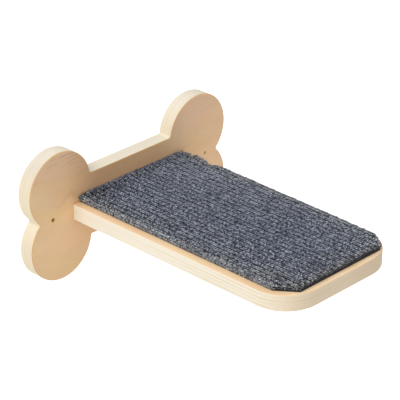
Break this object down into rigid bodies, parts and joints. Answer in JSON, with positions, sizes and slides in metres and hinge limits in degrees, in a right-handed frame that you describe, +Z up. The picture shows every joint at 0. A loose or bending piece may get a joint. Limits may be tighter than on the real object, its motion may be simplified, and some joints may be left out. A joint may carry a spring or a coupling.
{
  "type": "wall-mounted cat step",
  "caption": "Plywood cat step: a bone-shaped wall plate carries a projecting tread with rounded outer corners and a ribbed grey carpet.",
  "frame": {"origin": "on the wall plane, midway between the two wall screw holes, at the middle of the bone-shaped plate", "axes": "+X along the wall, +Y into the wall, so the tread points along -Y, +Z up"},
  "size_m": [0.3, 0.333, 0.153],
  "materials": {
    "plywood_plate": "clear-lacquered plywood, warm tan face",
    "plywood_tread": "clear-lacquered plywood, pale face and edges",
    "carpet_backing": "black foam backing",
    "carpet_pile": "heathered blue-grey ribbed loop pile",
    "screw_zinc": "zinc plated",
    "beech_dowel": "plain fluted beech"
  },
  "bodies": {
    "root": {"wall_plate": "plywood_plate", "tread_board": "plywood_tread", "carpet_backing": "carpet_backing", "carpet_pile": "carpet_pile", "tread_screw_left": "screw_zinc", "tread_screw_middle": "screw_zinc", "tread_screw_right": "screw_zinc", "dowel_left": "beech_dowel", "dowel_right": "beech_dowel"}
  },
  "joints": []
}
